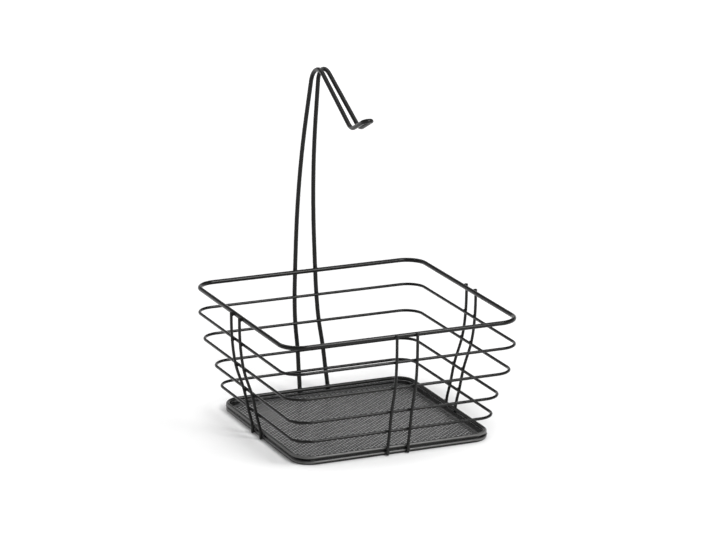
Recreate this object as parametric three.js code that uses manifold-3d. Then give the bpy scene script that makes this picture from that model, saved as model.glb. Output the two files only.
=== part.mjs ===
// A square wire fruit basket with a banana hook, all of black coated steel.
// Millimetres, +Z up. It stands on z = 0, and the hook rises at the back, +Y, and reaches to the front.

import * as THREE from 'three';
import { mergeVertices } from 'three/addons/utils/BufferGeometryUtils.js';
import Module from 'manifold-3d';

const wasm = await Module();
wasm.setup();

// Wires
const rimWire = 4.5;
const hoopWire = 3.0;
const uprightWire = 3.0;
const baseWire = 4.0;
const hookWire = 4.5;
const weldGap = 0.3; // between two wires where they cross and are welded

// Square rings, measured at the middle of the wire: half the width, and the rise above the ring below
const baseHalf = 103.8;
const hoop1Half = 108.4;
const hoop2Half = 112.8;
const hoop3Half = 121.5;
const hoop4Half = 125.3;
const rimHalf = 125.3;
const hoop1Rise = 18.7;
const hoop2Rise = 21.3;
const hoop3Rise = 27.2;
const hoop4Rise = 27.4;
const rimRise = 26.5;
const baseCornerRadius = 19;
const hoopCornerRadius = 19;
const rimCornerRadius = 21;

// Uprights, a pair on the left, front and right sides
const pairSpacing = 22;
const footClearance = 0.5; // from the table to the cut ends of the uprights and of the hook

// Tray of diamond mesh, its flange held between the two base rings
const traySheet = 0.6;
const trayGap = 0.2; // between the sheet and the base rings
const trayFloorHeight = 1.0;
const trayFlangeReach = 1.0; // of the flange past the middle of the base wire
const meshPitchX = 22;
const meshPitchY = 14;
const meshStrand = 3.0;
const meshBorder = 3.0; // plain sheet left between the gaps and the tray's wall

// Banana hook, one wire bent into a hairpin: spreads are between the middles of its two halves
const hookFootSpread = 31.8;
const hookNeckSpread = 6.4;
const hookTipSpread = 9.0;
const hookLeanRise = 27.6; // above the rim, where the legs start to lean forward
const hookLeanRadius = 575;
const hookLeanAngle = THREE.MathUtils.degToRad(14);
const hookBendRise = 233.3; // above the rim, where the lines of leg and arm cross
const hookTopRadius = 21;
const hookArmReach = 98;
const hookArmSlope = THREE.MathUtils.degToRad(28.7);
const hookLowRadius = 16.5;
const hookTipLength = 31.4; // from where the lines of arm and tip cross to the middle of the end turn
const hookTipSlope = THREE.MathUtils.degToRad(25.4);

// Facets
const thinSides = 8;
const thickSides = 12;
const cornerSteps = 6;
const spanSteps = 2; // between two rings, along an upright
const leanSteps = 5;
const bendSteps = 8;

// The stack of rings, from the table up
const lowerRingHeight = baseWire / 2;
const upperRingHeight = lowerRingHeight + baseWire + traySheet + 2 * trayGap;
const hoop1Height = upperRingHeight + hoop1Rise;
const hoop2Height = hoop1Height + hoop2Rise;
const hoop3Height = hoop2Height + hoop3Rise;
const hoop4Height = hoop3Height + hoop4Rise;
const rimHeight = hoop4Height + rimRise;
const baseRing = { half: baseHalf, wire: baseWire, corner: baseCornerRadius, sides: thickSides };
const hoopRing = { wire: hoopWire, corner: hoopCornerRadius, sides: thinSides };
const rimRing = { wire: rimWire, corner: rimCornerRadius, sides: thickSides };
const ringStack = [
  { name: 'base_ring_lower', height: lowerRingHeight, ...baseRing },
  { name: 'base_ring_upper', height: upperRingHeight, ...baseRing },
  { name: 'hoop_1', half: hoop1Half, height: hoop1Height, ...hoopRing },
  { name: 'hoop_2', half: hoop2Half, height: hoop2Height, ...hoopRing },
  { name: 'hoop_3', half: hoop3Half, height: hoop3Height, ...hoopRing },
  { name: 'hoop_4', half: hoop4Half, height: hoop4Height, ...hoopRing },
  { name: 'rim', half: rimHalf, height: rimHeight, ...rimRing },
];

const basket = new THREE.Group();
// The hook's legs are thicker than the uprights in front, so this centres the outside on the origin.
basket.position.y = (uprightWire - hookWire) / 2;

function addPiece(name, geometry, colour, parent = basket) {
  const material = new THREE.MeshStandardMaterial({ color: colour, roughness: 0.5, metalness: 0.2 });
  const mesh = new THREE.Mesh(geometry, material);
  mesh.name = name;
  parent.add(mesh);
}

const wireBlack = 0x2c2c2b;
const meshGrey = 0x3a3a3a;

// A round wire's section: flats lie at the wire's true radius, on its sides, top and bottom.
function sectionPoints(diameter, sides) {
  const radius = diameter / 2 / Math.cos(Math.PI / sides);
  const points = [];
  for (let side = 0; side < sides; side++) {
    const angle = (side + 0.5) / sides * 2 * Math.PI;
    points.push(new THREE.Vector2(radius * Math.cos(angle), radius * Math.sin(angle)));
  }
  return points;
}

// A square of wire with rounded corners, swept round and closed on itself.
function ringGeometry(ring) {
  const { sides } = ring;
  const section = sectionPoints(ring.wire, sides);
  const inset = ring.half - ring.corner;
  const positions = [];
  for (let corner = 0; corner < 4; corner++) {
    const diagonal = (corner + 0.5) * Math.PI / 2;
    const centre = new THREE.Vector2(Math.sign(Math.cos(diagonal)), Math.sign(Math.sin(diagonal)));
    centre.multiplyScalar(inset);
    for (let step = 0; step <= cornerSteps; step++) {
      const turn = (corner + step / cornerSteps) * Math.PI / 2;
      for (const point of section) {
        const reach = ring.corner + point.x;
        const x = centre.x + reach * Math.cos(turn);
        const y = centre.y + reach * Math.sin(turn);
        positions.push(x, y, ring.height + point.y);
      }
    }
  }
  const stations = positions.length / 3 / sides;
  const indices = [];
  for (let station = 0; station < stations; station++) {
    const here = station * sides;
    const next = (station + 1) % stations * sides;
    for (let side = 0; side < sides; side++) {
      const other = (side + 1) % sides;
      indices.push(here + side, next + side, next + other);
      indices.push(here + side, next + other, here + other);
    }
  }
  const geometry = new THREE.BufferGeometry();
  geometry.setAttribute('position', new THREE.Float32BufferAttribute(positions, 3));
  geometry.setIndex(indices);
  geometry.computeVertexNormals();
  return geometry;
}

// A path through chosen points, so that a swept wire has a section at each of them.
class StationCurve extends THREE.Curve {
  constructor(stations) {
    super();
    this.stations = stations;
    this.last = stations.length - 1;
  }

  getPoint(t, target = new THREE.Vector3()) {
    return target.copy(this.stations[Math.round(t * this.last)]);
  }

  getPointAt(u, target) {
    return this.getPoint(u, target);
  }

  getTangentAt(u, target = new THREE.Vector3()) {
    const index = Math.round(u * this.last);
    const before = this.stations[Math.max(index - 1, 0)];
    const here = this.stations[index];
    const after = this.stations[Math.min(index + 1, this.last)];
    const arriving = new THREE.Vector3().subVectors(here, before).normalize();
    const leaving = new THREE.Vector3().subVectors(after, here).normalize();
    return target.addVectors(arriving, leaving).normalize();
  }
}

function wireGeometry(stations, diameter, sides) {
  const section = new THREE.Shape(sectionPoints(diameter, sides));
  const path = new StationCurve(stations);
  return new THREE.ExtrudeGeometry(section, { steps: path.last, extrudePath: path });
}

// Where a wire touches the outside of each ring: x is the distance from the middle, y the height.
// A leaning wire stands further off, because its clearance is measured square to it.
function wallContacts(wire) {
  const faces = ringStack.map((ring) => ring.half + ring.wire / 2);
  return ringStack.map((ring, index) => {
    const below = Math.max(index - 1, 0);
    const above = Math.min(index + 1, ringStack.length - 1);
    const rise = ringStack[above].height - ringStack[below].height;
    const lean = Math.atan2(faces[above] - faces[below], rise);
    const standOff = (ring.wire / 2 + weldGap + wire / 2) / Math.cos(lean);
    return new THREE.Vector2(ring.half + standOff, ring.height);
  });
}

// A wire's line up the outside of the wall, from above the table to a height over the rim.
function wallLine(wire, topHeight) {
  const contacts = wallContacts(wire);
  const foot = new THREE.Vector2(contacts[0].x, footClearance);
  const top = new THREE.Vector2(contacts.at(-1).x, topHeight);
  const knots = [foot, ...contacts, top].map((knot) => new THREE.Vector3(knot.x, knot.y, 0));
  const curve = new THREE.CatmullRomCurve3(knots);
  return curve.getPoints((knots.length - 1) * spanSteps).map((point) => new THREE.Vector2(point.x, point.y));
}

function addUprights() {
  const line = wallLine(uprightWire, rimHeight + rimWire / 2);
  const sides = [
    { turn: -Math.PI / 2, names: ['upright_left_back', 'upright_left_front'] },
    { turn: 0, names: ['upright_front_left', 'upright_front_right'] },
    { turn: Math.PI / 2, names: ['upright_right_front', 'upright_right_back'] },
  ];
  for (const side of sides) {
    const group = new THREE.Group();
    group.rotation.z = side.turn;
    basket.add(group);
    side.names.forEach((name, index) => {
      const across = (index - 0.5) * pairSpacing;
      const stations = line.map((point) => new THREE.Vector3(across, -point.x, point.y));
      addPiece(name, wireGeometry(stations, uprightWire, thinSides), wireBlack, group);
    });
  }
}

// The arc that rounds the corner between two straight lines.
function bend(from, corner, to, radius) {
  const back = from.clone().sub(corner).normalize();
  const ahead = to.clone().sub(corner).normalize();
  const halfAngle = Math.acos(back.dot(ahead)) / 2;
  const inward = back.clone().add(ahead).normalize();
  const centre = corner.clone().addScaledVector(inward, radius / Math.sin(halfAngle));
  const start = corner.clone().addScaledVector(back, radius / Math.tan(halfAngle)).sub(centre);
  const turn = -Math.sign(back.cross(ahead)) * (Math.PI - 2 * halfAngle);
  const points = [];
  for (let step = 0; step <= bendSteps; step++) {
    points.push(start.clone().rotateAround(new THREE.Vector2(), turn * step / bendSteps).add(centre));
  }
  return points;
}

// The hook from the side: x is the distance behind the basket's middle, y the height.
function hookSideLine() {
  const leg = wallLine(hookWire, rimHeight + hookLeanRise);
  const leanStart = leg.at(-1);
  const leaning = [];
  for (let step = 1; step <= leanSteps; step++) {
    const angle = hookLeanAngle * step / leanSteps;
    const forward = hookLeanRadius * (1 - Math.cos(angle));
    leaning.push(new THREE.Vector2(leanStart.x - forward, leanStart.y + hookLeanRadius * Math.sin(angle)));
  }
  const leanEnd = leaning.at(-1);
  const bendHeight = rimHeight + hookBendRise;
  const neck = new THREE.Vector2(leanEnd.x - (bendHeight - leanEnd.y) * Math.tan(hookLeanAngle), bendHeight);
  const dip = new THREE.Vector2(neck.x - hookArmReach, neck.y - hookArmReach * Math.tan(hookArmSlope));
  const tipDirection = new THREE.Vector2(-Math.cos(hookTipSlope), Math.sin(hookTipSlope));
  const tip = dip.clone().addScaledVector(tipDirection, hookTipLength);
  const topBend = bend(leanEnd, neck, dip, hookTopRadius);
  const lowBend = bend(neck, dip, tip, hookLowRadius);
  const points = [...leg, ...leaning, ...topBend, ...lowBend, tip];
  const neckIndex = leg.length + leaning.length + Math.round(bendSteps / 2);
  const dipIndex = neckIndex + bendSteps + 1;
  return { points, neckIndex, dipIndex, tipDirection };
}

// Half the spread at each point of the side line: it narrows up the legs and widens again down the arm.
function hookHalfSpreads(line) {
  const lengths = [0];
  for (let index = 1; index < line.points.length; index++) {
    lengths.push(lengths[index - 1] + line.points[index].distanceTo(line.points[index - 1]));
  }
  const neckLength = lengths[line.neckIndex];
  const dipLength = lengths[line.dipIndex];
  return lengths.map((length) => {
    if (length < neckLength) {
      return THREE.MathUtils.mapLinear(length, 0, neckLength, hookFootSpread, hookNeckSpread) / 2;
    }
    const along = Math.min(length, dipLength);
    return THREE.MathUtils.mapLinear(along, neckLength, dipLength, hookNeckSpread, hookTipSpread) / 2;
  });
}

function addHook() {
  const line = hookSideLine();
  const halfSpreads = hookHalfSpreads(line);
  const left = line.points.map((point, index) => new THREE.Vector3(-halfSpreads[index], point.x, point.y));
  const right = left.map((point) => new THREE.Vector3(-point.x, point.y, point.z)).reverse();
  const tip = line.points.at(-1);
  const turnRadius = hookTipSpread / 2;
  const endTurn = [];
  for (let step = 1; step < bendSteps; step++) {
    const angle = Math.PI * step / bendSteps;
    const point = tip.clone().addScaledVector(line.tipDirection, turnRadius * Math.sin(angle));
    endTurn.push(new THREE.Vector3(-turnRadius * Math.cos(angle), point.x, point.y));
  }
  addPiece('banana_hook', wireGeometry([...left, ...endTurn, ...right], hookWire, thickSides), wireBlack);
}

function roundedSquare(half, corner) {
  const inset = half - corner;
  const outline = new THREE.Shape();
  outline.absarc(inset, inset, corner, 0, Math.PI / 2);
  outline.absarc(-inset, inset, corner, Math.PI / 2, Math.PI);
  outline.absarc(-inset, -inset, corner, Math.PI, 1.5 * Math.PI);
  outline.absarc(inset, -inset, corner, 1.5 * Math.PI, 2 * Math.PI);
  outline.closePath();
  return outline;
}

function plate(outline, bottom, thickness) {
  const settings = { depth: thickness, bevelEnabled: false, curveSegments: cornerSteps };
  return new THREE.ExtrudeGeometry(outline, settings).translate(0, 0, bottom);
}

function toSolid(geometry) {
  geometry.deleteAttribute('normal');
  geometry.deleteAttribute('uv');
  const merged = mergeVertices(geometry);
  const vertProperties = new Float32Array(merged.attributes.position.array);
  const triVerts = new Uint32Array(merged.index.array);
  return new wasm.Manifold(new wasm.Mesh({ numProp: 3, vertProperties, triVerts }));
}

function toGeometry(solid) {
  const mesh = solid.getMesh();
  const geometry = new THREE.BufferGeometry();
  geometry.setAttribute('position', new THREE.BufferAttribute(mesh.vertProperties, 3));
  geometry.setIndex(new THREE.BufferAttribute(mesh.triVerts, 1));
  geometry.computeVertexNormals();
  return geometry;
}

// Diamond gaps in staggered rows, each one whole and clear of the tray's rounded corners.
function meshGaps(half, corner) {
  const steepness = Math.hypot(1 / meshPitchX, 1 / meshPitchY);
  const share = 1 - meshStrand * steepness;
  const reachX = share * meshPitchX / 2;
  const reachY = share * meshPitchY / 2;
  const columns = Math.ceil(half / meshPitchX * 2);
  const rows = Math.ceil(half / meshPitchY * 2);
  const inset = half - corner;
  const fits = (x, y) => {
    const past = new THREE.Vector2(Math.max(Math.abs(x) - inset, 0), Math.max(Math.abs(y) - inset, 0));
    return past.length() <= corner;
  };
  const gaps = [];
  for (let row = -rows; row <= rows; row++) {
    for (let column = -columns; column <= columns; column++) {
      if ((row + column) % 2 !== 0) {
        continue;
      }
      const x = column * meshPitchX / 2;
      const y = row * meshPitchY / 2;
      const points = [[x + reachX, y], [x, y + reachY], [x - reachX, y], [x, y - reachY]];
      if (points.every((point) => fits(...point))) {
        gaps.push(new THREE.Path(points.map((point) => new THREE.Vector2(...point))));
      }
    }
  }
  return gaps;
}

function addTray() {
  const wallHalf = baseHalf - baseWire / 2 - trayGap;
  const wallCorner = baseCornerRadius - baseWire / 2 - trayGap;
  const innerHalf = wallHalf - traySheet;
  const innerCorner = wallCorner - traySheet;
  const flangeBottom = baseWire + trayGap;
  const flangeTop = flangeBottom + traySheet;

  const floor = roundedSquare(wallHalf, wallCorner);
  floor.holes.push(...meshGaps(innerHalf - meshBorder, innerCorner - meshBorder));
  const wall = roundedSquare(wallHalf, wallCorner);
  wall.holes.push(roundedSquare(innerHalf, innerCorner));
  const flange = roundedSquare(baseHalf + trayFlangeReach, baseCornerRadius + trayFlangeReach);
  flange.holes.push(roundedSquare(innerHalf, innerCorner));

  const solid = toSolid(plate(floor, trayFloorHeight, traySheet))
    .add(toSolid(plate(wall, trayFloorHeight, flangeTop - trayFloorHeight)))
    .add(toSolid(plate(flange, flangeBottom, traySheet)));
  addPiece('mesh_tray', toGeometry(solid), meshGrey);
}

for (const ring of ringStack) {
  addPiece(ring.name, ringGeometry(ring), wireBlack);
}
addUprights();
addHook();
addTray();

export default basket;
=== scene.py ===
"""A square wire fruit basket with a banana hook, dressed for its studio photograph.

Metres, +Z up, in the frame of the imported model: the hook's legs stand at the back, +Y.
"""

import math
from dataclasses import dataclass

import bmesh
import bpy
from mathutils import Matrix, Quaternion, Vector
from mathutils.geometry import interpolate_bezier


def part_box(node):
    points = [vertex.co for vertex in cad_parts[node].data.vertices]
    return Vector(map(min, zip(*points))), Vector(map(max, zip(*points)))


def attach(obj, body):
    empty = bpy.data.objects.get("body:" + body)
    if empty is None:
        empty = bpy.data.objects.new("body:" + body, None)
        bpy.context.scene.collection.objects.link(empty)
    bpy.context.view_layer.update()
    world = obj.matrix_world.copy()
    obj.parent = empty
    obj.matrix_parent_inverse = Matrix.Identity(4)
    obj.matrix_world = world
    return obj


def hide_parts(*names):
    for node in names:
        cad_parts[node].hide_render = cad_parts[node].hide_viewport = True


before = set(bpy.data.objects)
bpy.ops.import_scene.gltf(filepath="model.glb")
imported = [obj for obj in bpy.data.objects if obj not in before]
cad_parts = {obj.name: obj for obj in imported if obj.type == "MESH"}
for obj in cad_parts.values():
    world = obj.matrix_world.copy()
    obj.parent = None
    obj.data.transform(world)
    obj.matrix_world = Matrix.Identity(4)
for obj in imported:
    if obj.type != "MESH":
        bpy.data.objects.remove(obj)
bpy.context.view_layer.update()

MM = 0.001

# Rings, from the table up, with the radius of their corners at the middle of the wire
RING_CORNERS = {
    "base_ring_lower": 19 * MM,
    "base_ring_upper": 19 * MM,
    "hoop_1": 19 * MM,
    "hoop_2": 19 * MM,
    "hoop_3": 19 * MM,
    "hoop_4": 19 * MM,
    "rim": 21 * MM,
}

# Uprights, in pairs, by the degrees that their side is turned from the front
UPRIGHT_WIRE = 3 * MM
PAIR_SPACING = 22 * MM
PAIR_PLACES = (-PAIR_SPACING / 2, PAIR_SPACING / 2)
FOOT_CLEARANCE = 0.5 * MM  # from the table to the cut ends
UPRIGHT_SIDES = {
    -90: ("upright_left_back", "upright_left_front"),
    0: ("upright_front_left", "upright_front_right"),
    90: ("upright_right_front", "upright_right_back"),
}

# Banana hook, with the spreads between the middles of its two halves
HOOK_SIDE = 180  # degrees from the front
HOOK_WIRE = 4.5 * MM
HOOK_FOOT_SPREAD = 31.8 * MM
HOOK_NECK_SPREAD = 6.4 * MM
HOOK_TIP_SPREAD = 9 * MM
HOOK_LEAN_RISE = 27.6 * MM  # above the rim, where the legs start to lean forward
HOOK_LEAN_RADIUS = 575 * MM
HOOK_LEAN_ANGLE = math.radians(14)
HOOK_BEND_RISE = 233.3 * MM  # above the rim, where the lines of leg and arm cross
HOOK_TOP_RADIUS = 21 * MM
HOOK_ARM_REACH = 98 * MM
HOOK_ARM_SLOPE = math.radians(28.7)
HOOK_LOW_RADIUS = 16.5 * MM
HOOK_TIP_LENGTH = 31.4 * MM  # from where the lines of arm and tip cross to the end turn's middle
HOOK_TIP_SLOPE = math.radians(25.4)

# Ground ends of the uprights and the hook
END_ROUNDING = 0.38  # of the wire's diameter
END_ROOM = 1.3  # of the rounding, kept free of other sections of the wire

# Welds: the gap that they bridge, and how far they are squeezed out past the wires
WELD_GAP = 0.3 * MM
WELD_DEPTH = 0.9 * MM
WELD_SPREAD = 1.12  # of the wires' radius
BUTT_WELD_LENGTH = 3.2 * MM
BUTT_WELD_SWELL = 1.07  # of the wire's radius

# Tray of expanded mesh: a diamond's diagonals, the strands between, and the pressed edge
# The real diamonds are nearer 3.7 mm by 3.3 mm, too fine to show.
MESH_LONG = 6.0 * MM
MESH_SHORT = 5.4 * MM
MESH_STRAND = 1.2 * MM
MESH_WHOLE = 0.99  # of a diamond's area, past which it counts as uncut
TRAY_SHEET = 0.6 * MM
TRAY_FLOOR = 1.6 * MM  # top of the floor over the table
TRAY_WALL_HALF = 101.0 * MM
TRAY_WALL_CORNER = 16.2 * MM
TRAY_FOLD = 0.9 * MM

# Smoothness
WIRE_SIDES = 20
END_STEPS = 4
CORNER_STEPS = 14
SPAN_STEPS = 6
LEAN_STEPS = 10
BEND_STEPS = 16
FOLD_STEPS = 3
CORNER_CUTS = 48
WELD_SIDES = 12
BUTT_WELD_SIDES = 16
WELD_STEPS = 8

UP = Vector((0, 0, 1))


@dataclass
class Ring:
    """A square ring of wire: half its width at the middle of the wire, and its height there."""

    name: str
    wire: float
    half: float
    height: float
    corner: float


def measured_ring(name):
    low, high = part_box(name)
    wire = high.z - low.z
    half = (high.x - low.x - wire) / 2
    return Ring(name, wire, half, (low.z + high.z) / 2, RING_CORNERS[name])


RINGS = [measured_ring(name) for name in RING_CORNERS]
RIM = RINGS[-1]
# The basket's middle on the table, a little in front of the whole box's because of the hook's legs
rim_low, rim_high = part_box("rim")
MIDDLE = Vector((0, (rim_low.y + rim_high.y) / 2, 0))


# Materials


def linear(hex_colour):
    """An sRGB hex colour as linear red, green, blue and alpha."""
    channels = [int(hex_colour[start:start + 2], 16) / 255 for start in (1, 3, 5)]
    return (*[c / 12.92 if c <= 0.04045 else ((c + 0.055) / 1.055) ** 2.4 for c in channels], 1)


def add_node(tree, kind, inputs=None, **settings):
    """Adds a node with its settings, and sets or links its inputs."""
    node = tree.nodes.new(kind)
    for name, value in settings.items():
        setattr(node, name, value)
    for socket, value in (inputs or {}).items():
        if isinstance(value, bpy.types.NodeSocket):
            tree.links.new(value, node.inputs[socket])
        else:
            node.inputs[socket].default_value = value
    return node


def new_material(name):
    material = bpy.data.materials.new(name)
    material.use_nodes = True
    material.node_tree.nodes.clear()
    return material, material.node_tree


def wire_coat():
    """Black polyester powder coat, baked on steel: an even satin black that lights up softly.

    It cures with a slight orange peel and lies a little thicker in some places than in others.
    The base rings are a lighter grey-black, and a grey band is painted along the upper part of their
    outsides as a painted highlight.
    The table scuffs the lower one from below.
    """
    peel_size = 1.6 * MM  # real peel is nearer 0.5 mm, too fine to show
    peel_depth = 0.06 * MM
    cloud_size = 30 * MM
    scuff_size = 6 * MM
    scuff_rise = (0.8 * MM, 0.1 * MM)  # over the table, where scuffs start and where they are full
    lighter_base_rise = (10.5 * MM, 8.5 * MM)  # over the table, where the base rings' lighter tone starts and where it is full
    highlight_band_slope = 0.7  # how much the painted highlight band faces up, for 1 that it faces out
    highlight_band_facing = (1.06, 1.2)  # where the painted highlight starts and where it is full, square on is 1.22
    base_half = RINGS[0].half
    material, tree = new_material("satin_black_powder_coat")
    place = add_node(tree, "ShaderNodeTexCoord").outputs["Object"]
    clouds = add_node(
        tree, "ShaderNodeTexNoise", {"Vector": place, "Scale": 1 / cloud_size, "Detail": 3}
    ).outputs["Fac"]
    peel = add_node(
        tree, "ShaderNodeTexNoise", {"Vector": place, "Scale": 1 / peel_size, "Detail": 1}
    ).outputs["Fac"]
    scuffs = add_node(
        tree, "ShaderNodeTexNoise", {"Vector": place, "Scale": 1 / scuff_size, "Detail": 4}
    ).outputs["Fac"]
    height = add_node(tree, "ShaderNodeSeparateXYZ", {"Vector": place}).outputs["Z"]
    near_table = add_node(
        tree,
        "ShaderNodeMapRange",
        {"Value": height, "From Min": scuff_rise[0], "From Max": scuff_rise[1]},
        interpolation_type="SMOOTHSTEP",
    ).outputs["Result"]
    scuffed = add_node(
        tree,
        "ShaderNodeMapRange",
        {"Value": scuffs, "From Min": 0.45, "From Max": 0.6, "To Max": near_table},
    ).outputs["Result"]
    low_down = add_node(
        tree,
        "ShaderNodeMapRange",
        {"Value": height, "From Min": lighter_base_rise[0], "From Max": lighter_base_rise[1]},
    ).outputs["Result"]
    # The band faces up and out from a point under the basket's middle: a painted highlight on the base
    # rings.
    under_middle = MIDDLE - UP * highlight_band_slope * base_half
    from_under = add_node(
        tree, "ShaderNodeVectorMath", {0: place, 1: under_middle}, operation="SUBTRACT"
    ).outputs[0]
    facing = add_node(tree, "ShaderNodeNewGeometry").outputs["Normal"]
    outward = add_node(
        tree, "ShaderNodeVectorMath", {0: facing, 1: from_under}, operation="DOT_PRODUCT"
    ).outputs["Value"]
    highlight_band = add_node(
        tree,
        "ShaderNodeMapRange",
        {
            "Value": outward,
            "From Min": highlight_band_facing[0] * base_half,
            "From Max": highlight_band_facing[1] * base_half,
            "To Max": low_down,
        },
    ).outputs["Result"]
    tone = add_node(
        tree,
        "ShaderNodeMix",
        {0: clouds, 6: linear("#0e0e0d"), 7: linear("#141413")},
        data_type="RGBA",
    ).outputs[2]
    # The base rings are a lighter grey-black than the wires above them.
    lighter_base_tone = add_node(
        tree, "ShaderNodeMix", {0: low_down, 6: tone, 7: linear("#222221")}, data_type="RGBA"
    ).outputs[2]
    # Grey painted along the upper outsides of the base rings as a painted highlight.
    painted_highlight = add_node(
        tree, "ShaderNodeMix", {0: highlight_band, 6: lighter_base_tone, 7: linear("#626261")}, data_type="RGBA"
    ).outputs[2]
    scuffed_and_highlit = add_node(
        tree, "ShaderNodeMix", {0: scuffed, 6: painted_highlight, 7: linear("#6a6a68")}, data_type="RGBA"
    ).outputs[2]
    roughness = add_node(
        tree, "ShaderNodeMapRange", {"Value": clouds, "To Min": 0.16, "To Max": 0.22}
    ).outputs["Result"]
    relief = add_node(
        tree, "ShaderNodeBump", {"Height": peel, "Strength": 0.25, "Distance": peel_depth}
    ).outputs["Normal"]
    coat = add_node(
        tree,
        "ShaderNodeBsdfPrincipled",
        {
            "Base Color": scuffed_and_highlit,
            "Roughness": roughness,
            "Normal": relief,
            "IOR": 1.5,
            "Specular IOR Level": 0.22,
        },
    )
    add_node(tree, "ShaderNodeOutputMaterial", {"Surface": coat.outputs["BSDF"]})
    return material


def mesh_coat():
    """The same coat on expanded mesh, with grey painted on the tops of its flat strands as a painted
    reflection of the bright room.

    The cut walls of the holes, the floor along the tray's wall and the folded edge are painted near black
    as shade.
    """
    cloud_size = 35 * MM
    rub_size = 9 * MM
    wall_shade_margin = (0.2 * MM, 1.5 * MM)  # from the wall, the painted shade along it: where the grey starts and where it is full
    floor_margin = (0.15 * MM, 0.05 * MM)  # over the floor, the same
    material, tree = new_material("powder_coat_on_expanded_mesh_painted_sheen")
    place = add_node(tree, "ShaderNodeTexCoord").outputs["Object"]
    clouds = add_node(
        tree, "ShaderNodeTexNoise", {"Vector": place, "Scale": 1 / cloud_size, "Detail": 2}
    ).outputs["Fac"]
    rubs = add_node(
        tree, "ShaderNodeTexNoise", {"Vector": place, "Scale": 1 / rub_size, "Detail": 4}
    ).outputs["Fac"]
    facing = add_node(tree, "ShaderNodeNewGeometry").outputs["True Normal"]
    upward = add_node(tree, "ShaderNodeSeparateXYZ", {"Vector": facing}).outputs["Z"]
    from_middle = add_node(
        tree, "ShaderNodeVectorMath", {0: place, 1: MIDDLE}, operation="SUBTRACT"
    ).outputs[0]
    reach = add_node(
        tree, "ShaderNodeVectorMath", {0: from_middle}, operation="ABSOLUTE"
    ).outputs[0]
    axes = add_node(tree, "ShaderNodeSeparateXYZ", {"Vector": reach}).outputs
    farthest = add_node(
        tree, "ShaderNodeMath", {0: axes["X"], 1: axes["Y"]}, operation="MAXIMUM"
    ).outputs[0]
    # Painted shade along the tray's wall: the grey tops fade to black within 1.5 mm of it.
    clear_of_wall_shade = add_node(
        tree,
        "ShaderNodeMapRange",
        {
            "Value": farthest,
            "From Min": TRAY_WALL_HALF - wall_shade_margin[0],
            "From Max": TRAY_WALL_HALF - wall_shade_margin[1],
        },
    ).outputs["Result"]
    on_floor = add_node(
        tree,
        "ShaderNodeMapRange",
        {
            "Value": axes["Z"],
            "From Min": TRAY_FLOOR + floor_margin[0],
            "From Max": TRAY_FLOOR + floor_margin[1],
            "To Max": clear_of_wall_shade,
        },
    ).outputs["Result"]
    painted_sheen_mask = add_node(
        tree,
        "ShaderNodeMapRange",
        {"Value": upward, "From Min": 0.4, "From Max": 0.9, "To Max": on_floor},
    ).outputs["Result"]
    # Grey on the strand tops is a painted reflection; the near black elsewhere is painted shade.
    painted_sheen_tone = add_node(
        tree,
        "ShaderNodeMix",
        {0: clouds, 6: linear("#555555"), 7: linear("#646464")},
        data_type="RGBA",
    ).outputs[2]
    tone = add_node(
        tree, "ShaderNodeMix", {0: painted_sheen_mask, 6: linear("#101010"), 7: painted_sheen_tone}, data_type="RGBA"
    ).outputs[2]
    roughness = add_node(
        tree, "ShaderNodeMapRange", {"Value": rubs, "To Min": 0.34, "To Max": 0.2}
    ).outputs["Result"]
    coat = add_node(
        tree,
        "ShaderNodeBsdfPrincipled",
        {"Base Color": tone, "Roughness": roughness, "IOR": 1.5, "Specular IOR Level": 0.3},
    )
    add_node(tree, "ShaderNodeOutputMaterial", {"Surface": coat.outputs["BSDF"]})
    return material


WIRE_BLACK = wire_coat()
MESH_BLACK = mesh_coat()


# Wires


def new_object(bm, name, material):
    """Makes a finished mesh into an object of the scene."""
    mesh = bpy.data.meshes.new(name)
    bm.to_mesh(mesh)
    bm.free()
    mesh.materials.append(material)
    made = bpy.data.objects.new(name, mesh)
    bpy.context.scene.collection.objects.link(made)
    return made


def add_piece(bm, name, material, node=None, smooth=True):
    """Makes a finished mesh into a piece of the basket, in place of a node where it stands for one."""
    piece = new_object(bm, name, material)
    if smooth:
        piece.data.shade_smooth()
    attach(piece, "root")
    if node:
        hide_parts(node)


def grown_loop(bm, edges):
    """Extrudes a loop of edges, and gives the new loop's vertices and edges."""
    grown = bmesh.ops.extrude_edge_only(bm, edges=edges)["geom"]
    new_verts = [element for element in grown if isinstance(element, bmesh.types.BMVert)]
    new_edges = [element for element in grown if isinstance(element, bmesh.types.BMEdge)]
    return new_verts, new_edges


def arc(centre, start, axis, angle, steps):
    """Points from start round centre."""
    turns = [Quaternion(axis, angle * step / steps) for step in range(steps + 1)]
    return [centre + turn @ (start - centre) for turn in turns]


def section_places(line, closed):
    """Where a wire's round section stands at each point of its line: square to it, without twist."""
    places = []
    count = len(line)
    for index, point in enumerate(line):
        before = line[index - 1] if closed or index > 0 else point
        after = line[(index + 1) % count] if closed or index + 1 < count else point
        heading = (point - before).normalized() + (after - point).normalized()
        if not places:
            turn = heading.to_track_quat("Z", "Y")
        else:
            turn = last_heading.rotation_difference(heading) @ turn
        places.append(Matrix.LocRotScale(point, turn, None))
        last_heading = heading
    return places


def clear_of_ends(line, distance):
    """A line without the points that are too near its ends to leave room for their rounding."""
    first, *middle, last = line
    kept = [
        point for point in middle if min((point - first).length, (point - last).length) > distance
    ]
    return [first, *kept, last]


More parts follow.
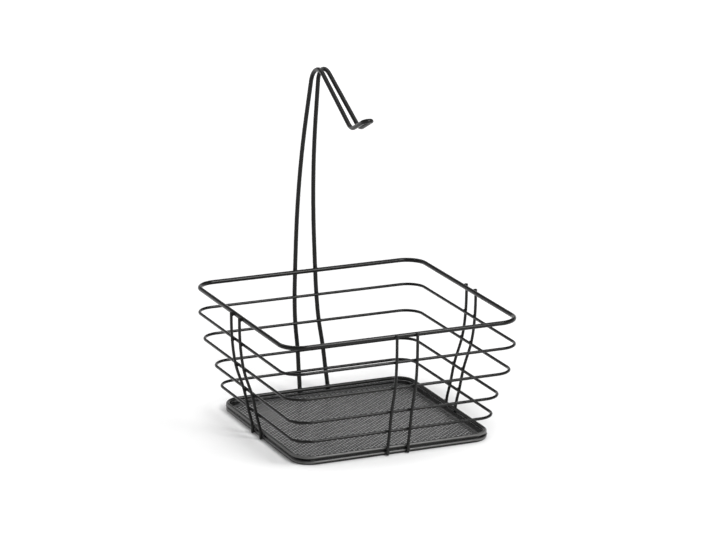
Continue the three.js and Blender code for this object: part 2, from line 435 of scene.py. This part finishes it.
def drawn_wire(line, diameter, closed=False):
    """A round wire along a line. A closed one joins its own start, an open one has ground ends."""
    end_rounding = END_ROUNDING * diameter
    if not closed:
        line = clear_of_ends(line, END_ROOM * end_rounding)
    bm = bmesh.new()
    places = section_places(line, closed)
    bmesh.ops.create_circle(bm, segments=WIRE_SIDES, radius=diameter / 2, matrix=places[0])
    first_edges = list(bm.edges)
    edges = first_edges
    for before, after in zip(places, places[1:]):
        verts, edges = grown_loop(bm, edges)
        bmesh.ops.transform(bm, matrix=after @ before.inverted(), verts=verts)
    ends = first_edges + edges
    if closed:
        bmesh.ops.bridge_loops(bm, edges=ends)
    else:
        bmesh.ops.edgeloop_fill(bm, edges=ends)
        bmesh.ops.bevel(
            bm,
            geom=ends,
            offset=end_rounding,
            offset_type="OFFSET",
            affect="EDGES",
            segments=END_STEPS,
            profile=0.5,
            material=-1,
        )
    bmesh.ops.recalc_face_normals(bm, faces=bm.faces)
    return bm


def ring_line(ring):
    """The middle of a ring's wire, from the joint in the middle of its back and round to it."""
    inset = ring.half - ring.corner
    line = [MIDDLE + Vector((0, ring.half, ring.height))]
    for quarter in range(4):
        out = Quaternion(UP, math.radians(90 * quarter)) @ Vector((0, 1, 0))
        left = UP.cross(out)
        centre = MIDDLE + (out + left) * inset + UP * ring.height
        line += arc(centre, centre + out * ring.corner, UP, math.radians(90), CORNER_STEPS)
    return line


def wall_contacts(wire):
    """Where an upright touches each ring, as its distance from the basket's middle and its height.

    A leaning wire stands further off, because its clearance is measured square to it.
    """
    contacts = []
    for index, ring in enumerate(RINGS):
        below = RINGS[max(index - 1, 0)]
        above = RINGS[min(index + 1, len(RINGS) - 1)]
        outward = above.half + above.wire / 2 - below.half - below.wire / 2
        lean = math.atan2(outward, above.height - below.height)
        stand_off = (ring.wire / 2 + WELD_GAP + wire / 2) / math.cos(lean)
        contacts.append((ring.half + stand_off, ring.height))
    return contacts


def wall_line(wire, top):
    """An upright's line up the outside of the front wall, in the middle of that side."""
    contacts = wall_contacts(wire)
    knots = [(contacts[0][0], FOOT_CLEARANCE), *contacts, (contacts[-1][0], top)]
    slopes = [0]
    for (x0, z0), (x1, z1), (x2, z2) in zip(knots, knots[1:], knots[2:]):
        rise_below = z1 - z0
        rise_above = z2 - z1
        lean_below = (x1 - x0) / rise_below
        lean_above = (x2 - x1) / rise_above
        shared_lean = lean_below * rise_above + lean_above * rise_below
        slopes.append(shared_lean / (rise_below + rise_above))
    slopes.append(0)
    line = []
    for (x0, z0), (x1, z1), slope0, slope1 in zip(knots, knots[1:], slopes, slopes[1:]):
        third = (z1 - z0) / 3
        start = Vector((0, -x0, z0))
        end = Vector((0, -x1, z1))
        start_handle = start + Vector((0, -slope0, 1)) * third
        end_handle = end - Vector((0, -slope1, 1)) * third
        span = interpolate_bezier(start, start_handle, end_handle, end, SPAN_STEPS + 1)
        line += span[:-1]
    return [*line, end]


def bend(before, corner, after, radius):
    """The arc that rounds the corner between two straight lines."""
    back = (before - corner).normalized()
    ahead = (after - corner).normalized()
    half_angle = back.angle(ahead) / 2
    centre = corner + (back + ahead).normalized() * radius / math.sin(half_angle)
    start = corner + back * radius / math.tan(half_angle)
    end = corner + ahead * radius / math.tan(half_angle)
    axis = (start - centre).cross(end - centre)
    return arc(centre, start, axis, math.pi - 2 * half_angle, BEND_STEPS)


def hook_line():
    """The hook's line from its left foot, up the back, round the tip and down to its right foot."""
    sideways = Vector((1, 0, 0))
    front_leg = wall_line(HOOK_WIRE, RIM.height + HOOK_LEAN_RISE)
    leg = [Vector((0, -point.y, point.z)) for point in front_leg]
    lean_centre = leg[-1] - Vector((0, HOOK_LEAN_RADIUS, 0))
    leaning = arc(lean_centre, leg[-1], sideways, HOOK_LEAN_ANGLE, LEAN_STEPS)[1:]
    bend_rise = RIM.height + HOOK_BEND_RISE - leaning[-1].z
    neck = leaning[-1] + Vector((0, -math.tan(HOOK_LEAN_ANGLE), 1)) * bend_rise
    dip = neck + Vector((0, -1, -math.tan(HOOK_ARM_SLOPE))) * HOOK_ARM_REACH
    tip_heading = Vector((0, -math.cos(HOOK_TIP_SLOPE), math.sin(HOOK_TIP_SLOPE)))
    tip = dip + tip_heading * HOOK_TIP_LENGTH
    rising = [*leg, *leaning]
    top_bend = bend(leaning[-1], neck, dip, HOOK_TOP_RADIUS)
    low_bend = bend(neck, dip, tip, HOOK_LOW_RADIUS)
    side = [*rising, *top_bend, *low_bend, tip]

    # The halves draw together up to the neck, and part again down to the dip
    lengths = [0]
    for before, here in zip(side, side[1:]):
        lengths.append(lengths[-1] + (here - before).length)
    neck_length = lengths[len(rising) + BEND_STEPS // 2]
    dip_length = lengths[len(rising) + len(top_bend) + BEND_STEPS // 2]
    left = []
    for point, length in zip(side, lengths):
        if length < neck_length:
            share = length / neck_length
            spread = HOOK_FOOT_SPREAD + (HOOK_NECK_SPREAD - HOOK_FOOT_SPREAD) * share
        else:
            share = min((length - neck_length) / (dip_length - neck_length), 1)
            spread = HOOK_NECK_SPREAD + (HOOK_TIP_SPREAD - HOOK_NECK_SPREAD) * share
        left.append(MIDDLE + point - sideways * spread / 2)
    right = [Vector((-point.x, point.y, point.z)) for point in reversed(left)]
    turn_axis = sideways.cross(tip_heading)
    end_turn = arc(MIDDLE + tip, left[-1], turn_axis, -math.pi, BEND_STEPS)[1:-1]
    return [*left, *end_turn, *right]


def upright_lines():
    """Every upright's line, by name."""
    line = wall_line(UPRIGHT_WIRE, RIM.height + RIM.wire / 2)
    lines = {}
    for degrees, names in UPRIGHT_SIDES.items():
        turn = Matrix.Rotation(math.radians(degrees), 4, "Z")
        for name, across in zip(names, PAIR_PLACES):
            lines[name] = [MIDDLE + turn @ (point + Vector((across, 0, 0))) for point in line]
    return lines


for ring in RINGS:
    ring_wire = drawn_wire(ring_line(ring), ring.wire, closed=True)
    add_piece(ring_wire, ring.name + "_wire", WIRE_BLACK, ring.name)
for upright, line in upright_lines().items():
    add_piece(drawn_wire(line, UPRIGHT_WIRE), upright + "_wire", WIRE_BLACK, upright)
add_piece(drawn_wire(hook_line(), HOOK_WIRE), "banana_hook_wire", WIRE_BLACK, "banana_hook")


# Tray


def mesh_floor():
    """A flat sheet of diamonds, cut to the tray's floor. Only whole diamonds are open."""
    half = TRAY_WALL_HALF - TRAY_FOLD
    corner = TRAY_WALL_CORNER - TRAY_FOLD
    inset = half - corner
    count = math.ceil(2 * half * (1 / MESH_LONG + 1 / MESH_SHORT))
    square_to_diamond = Matrix((
        (MESH_LONG / 2, -MESH_LONG / 2, 0, 0),
        (MESH_SHORT / 2, MESH_SHORT / 2, 0, MIDDLE.y),
        (0, 0, 1, TRAY_FLOOR),
        (0, 0, 0, 1),
    ))
    bm = bmesh.new()
    bmesh.ops.create_grid(
        bm, x_segments=count, y_segments=count, size=count / 2, matrix=square_to_diamond
    )
    sides = (Vector((1, 0, 0)), Vector((-1, 0, 0)), Vector((0, 1, 0)), Vector((0, -1, 0)))
    cuts = [(out, out * half) for out in sides]
    for step in range(CORNER_CUTS):
        turn = 2 * math.pi * (step + 0.5) / CORNER_CUTS
        out = Vector((math.cos(turn), math.sin(turn), 0))
        corner_middle = Vector((math.copysign(inset, out.x), math.copysign(inset, out.y), 0))
        cuts.append((out, corner_middle + out * corner))
    for out, edge in cuts:
        bmesh.ops.bisect_plane(
            bm,
            geom=[*bm.verts, *bm.edges, *bm.faces],
            plane_co=MIDDLE + edge,
            plane_no=out,
            clear_outer=True,
        )
    whole_area = MESH_WHOLE * MESH_LONG * MESH_SHORT / 2
    whole = [face for face in bm.faces if face.calc_area() > whole_area]
    bmesh.ops.inset_individual(bm, faces=whole, thickness=MESH_STRAND / 2, use_even_offset=True)
    bmesh.ops.delete(bm, geom=whole, context="FACES_ONLY")
    grown = bmesh.ops.extrude_face_region(bm, geom=bm.faces, use_keep_orig=True)["geom"]
    under = [element for element in grown if isinstance(element, bmesh.types.BMVert)]
    bmesh.ops.translate(bm, vec=-UP * TRAY_SHEET, verts=under)
    bmesh.ops.recalc_face_normals(bm, faces=bm.faces)
    return bm


def pressed_edge():
    """The sheet's edge, folded up into a low wall and out into a flange between the base rings."""
    flange_low, flange_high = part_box("mesh_tray")
    flange_half = (flange_high.x - flange_low.x) / 2
    half = TRAY_WALL_HALF - TRAY_FOLD
    corner = TRAY_WALL_CORNER - TRAY_FOLD
    turns = [math.radians(90) * step / FOLD_STEPS for step in range(FOLD_STEPS + 1)]
    folds = []
    for turn in turns[1:]:
        reach = half + TRAY_FOLD * math.sin(turn)
        folds.append((reach, TRAY_FLOOR + TRAY_FOLD * (1 - math.cos(turn))))
    for turn in turns:
        reach = TRAY_WALL_HALF + TRAY_FOLD * (1 - math.cos(turn))
        folds.append((reach, flange_high.z - TRAY_FOLD * (1 - math.sin(turn))))
    folds.append((flange_half, flange_high.z))
    bm = bmesh.new()
    first_step = Matrix.Rotation(math.pi / CORNER_CUTS, 4, "Z")
    bmesh.ops.create_circle(bm, segments=CORNER_CUTS, radius=corner, matrix=first_step)
    for vert in bm.verts:
        vert.co.x += math.copysign(half - corner, vert.co.x)
        vert.co.y += math.copysign(half - corner, vert.co.y)
    bmesh.ops.translate(bm, vec=MIDDLE + UP * TRAY_FLOOR, verts=bm.verts)
    edges = list(bm.edges)
    height = TRAY_FLOOR
    for next_half, next_height in folds:
        verts, edges = grown_loop(bm, edges)
        widen = Matrix.Diagonal((next_half / half, next_half / half, 1, 1))
        about_middle = Matrix.Translation(MIDDLE) @ widen @ Matrix.Translation(-MIDDLE)
        bmesh.ops.transform(bm, matrix=about_middle, verts=verts)
        bmesh.ops.translate(bm, vec=UP * (next_height - height), verts=verts)
        half, height = next_half, next_height
    bmesh.ops.recalc_face_normals(bm, faces=bm.faces)
    flange = max(bm.faces, key=lambda face: face.calc_center_median().z)
    if flange.normal.z < 0:
        bmesh.ops.reverse_faces(bm, faces=bm.faces)
    bmesh.ops.solidify(bm, geom=bm.faces, thickness=TRAY_SHEET)
    return bm


add_piece(mesh_floor(), "mesh_tray_floor", MESH_BLACK, "mesh_tray", smooth=False)
add_piece(pressed_edge(), "mesh_tray_edge", MESH_BLACK, "mesh_tray")


# Welds


def weld_nuggets():
    """The metal squeezed out where wires were welded: at each crossing, and where each ring joins."""
    bm = bmesh.new()
    crossings = []
    for degrees in UPRIGHT_SIDES:
        for across in PAIR_PLACES:
            for ring in RINGS:
                crossings.append((degrees, across, ring, UPRIGHT_WIRE))
    hook_legs = [point for point in hook_line() if point.z < RIM.height + RIM.wire]
    for ring in RINGS:
        spread = min(hook_legs, key=lambda point: abs(point.z - ring.height)).x
        for across in (-spread, spread):
            crossings.append((HOOK_SIDE, across, ring, HOOK_WIRE))
    for degrees, across, ring, wire in crossings:
        turn = Matrix.Translation(MIDDLE) @ Matrix.Rotation(math.radians(degrees), 4, "Z")
        reach = ring.half + ring.wire / 2 + WELD_GAP / 2
        place = Matrix.Translation((across, -reach, ring.height))
        tall = min(ring.wire / 2 * WELD_SPREAD, ring.height - FOOT_CLEARANCE)
        size = Matrix.Diagonal((wire / 2 * WELD_SPREAD, WELD_DEPTH, tall, 1))
        bmesh.ops.create_uvsphere(
            bm, u_segments=WELD_SIDES, v_segments=WELD_STEPS, radius=1, matrix=turn @ place @ size
        )
    for ring in RINGS:
        swell = min(ring.wire / 2 * BUTT_WELD_SWELL, ring.height)
        place = Matrix.Translation(MIDDLE + Vector((0, ring.half, ring.height)))
        size = Matrix.Diagonal((BUTT_WELD_LENGTH / 2, swell, swell, 1))
        bmesh.ops.create_uvsphere(
            bm, u_segments=BUTT_WELD_SIDES, v_segments=WELD_STEPS, radius=1, matrix=place @ size
        )
    return bm


add_piece(weld_nuggets(), "weld_nuggets", WIRE_BLACK)


# Studio


def white_to_the_eye(tree):
    """1 for what the camera sees, straight, mirrored or through glass, and 0 for other light."""
    path = add_node(tree, "ShaderNodeLightPath")
    seen = add_node(
        tree,
        "ShaderNodeMath",
        {0: path.outputs["Is Camera Ray"], 1: path.outputs["Is Glossy Ray"]},
        operation="MAXIMUM",
    )
    return add_node(
        tree,
        "ShaderNodeMath",
        {0: seen.outputs[0], 1: path.outputs["Is Transmission Ray"]},
        operation="MAXIMUM",
    ).outputs[0]


def paper_floor():
    """A wide sweep of matt white paper that keeps the basket's soft shadow and is white beyond it."""
    paper_half = 6.0
    shadow_reach = (115 * MM, 175 * MM)  # where the shadow starts to end, and where it has ended
    near_glow = 0.18
    front_light_foot = Vector((150, -200, 0)) * MM
    fading_reach = (300 * MM, 1800 * MM)  # from that foot, where the front light fades
    far_glow = 0.45
    material, tree = new_material("white_paper")
    paper = add_node(tree, "ShaderNodeBsdfDiffuse", {"Color": linear("#f0f0f0")})
    place = add_node(tree, "ShaderNodeTexCoord").outputs["Object"]
    away = add_node(tree, "ShaderNodeVectorMath", {0: place}, operation="LENGTH").outputs["Value"]
    past_shadow = add_node(
        tree,
        "ShaderNodeMapRange",
        {
            "Value": away,
            "From Min": shadow_reach[0],
            "From Max": shadow_reach[1],
            "To Max": near_glow,
        },
        interpolation_type="SMOOTHSTEP",
    ).outputs["Result"]
    from_foot = add_node(
        tree, "ShaderNodeVectorMath", {0: place, 1: front_light_foot}, operation="DISTANCE"
    ).outputs["Value"]
    faded = add_node(
        tree,
        "ShaderNodeMapRange",
        {
            "Value": from_foot,
            "From Min": fading_reach[0],
            "From Max": fading_reach[1],
            "To Max": far_glow ** 2,
        },
    ).outputs["Result"]
    past_light = add_node(tree, "ShaderNodeMath", {0: faded}, operation="SQRT").outputs[0]
    glow = add_node(
        tree, "ShaderNodeMath", {0: past_shadow, 1: past_light}, operation="ADD"
    ).outputs[0]
    strength = add_node(
        tree, "ShaderNodeMath", {0: white_to_the_eye(tree), 1: glow}, operation="MULTIPLY"
    ).outputs[0]
    lift = add_node(tree, "ShaderNodeEmission", {"Color": (1, 1, 1, 1), "Strength": strength})
    both = add_node(tree, "ShaderNodeAddShader", {0: paper.outputs[0], 1: lift.outputs[0]})
    add_node(tree, "ShaderNodeOutputMaterial", {"Surface": both.outputs[0]})
    bm = bmesh.new()
    bmesh.ops.create_grid(bm, x_segments=1, y_segments=1, size=paper_half)
    new_object(bm, "paper_floor", material)


def studio_light():
    """A white backdrop all round, a wide softbox overhead, and a small one at the front right."""
    backdrop_level = 1.0
    gap_level = 0.05  # above the backdrop
    backdrop_edge = (math.radians(12), math.radians(22))  # the elevations where it starts to end and ends
    overhead_place = Vector((0.02, 0.36, 1))
    overhead_spread = math.radians(75)
    strip_place = Vector((0.26, -0.56, 0.67))
    strip_width = 0.3
    strip_length = 0.6
    world = bpy.data.worlds.new("studio_room")
    bpy.context.scene.world = world
    world.use_nodes = True
    tree = world.node_tree
    tree.nodes.clear()
    direction = add_node(tree, "ShaderNodeTexCoord").outputs["Generated"]
    height = add_node(tree, "ShaderNodeSeparateXYZ", {"Vector": direction}).outputs["Z"]
    backdrop = add_node(
        tree,
        "ShaderNodeMapRange",
        {
            "Value": height,
            "From Min": math.sin(backdrop_edge[0]),
            "From Max": math.sin(backdrop_edge[1]),
            "To Min": backdrop_level,
            "To Max": gap_level,
        },
        interpolation_type="SMOOTHSTEP",
    ).outputs["Result"]
    room = add_node(tree, "ShaderNodeBackground", {"Color": (1, 1, 1, 1), "Strength": backdrop})
    add_node(tree, "ShaderNodeOutputWorld", {"Surface": room.outputs[0]})

    overhead = bpy.data.lights.new("overhead_softbox", "SUN")
    overhead.angle = overhead_spread
    overhead.energy = 1.45
    strip = bpy.data.lights.new("front_strip_softbox", "AREA")
    strip.shape = "RECTANGLE"
    strip.size = strip_width
    strip.size_y = strip_length
    strip.energy = 6.0
    for light, place in ((overhead, overhead_place), (strip, strip_place)):
        lamp = bpy.data.objects.new(light.name, light)
        lamp.location = place
        lamp.rotation_euler = place.to_track_quat("Z", "Y").to_euler()
        lamp.visible_camera = False
        bpy.context.scene.collection.objects.link(lamp)


def photographers_camera():
    """The camera at the photograph's viewpoint, fitted to the basket's rings and hook."""
    aim = Vector((26.0, 51.2, 145.4)) * MM
    azimuth = math.radians(-23.434)
    elevation = math.radians(15.825)
    distance = 3716 * MM
    level = math.cos(elevation)
    back = Vector((math.sin(azimuth) * level, -math.cos(azimuth) * level, math.sin(elevation)))
    camera = bpy.data.objects.new("camera", bpy.data.cameras.new("camera"))
    camera.data.sensor_width = 36
    camera.data.lens = 183.01
    camera.location = aim + back * distance
    camera.rotation_euler = (-back).to_track_quat("-Z", "Y").to_euler()
    bpy.context.scene.collection.objects.link(camera)
    bpy.context.scene.camera = camera


paper_floor()
studio_light()
photographers_camera()
bpy.context.scene.view_settings.view_transform = "Standard"
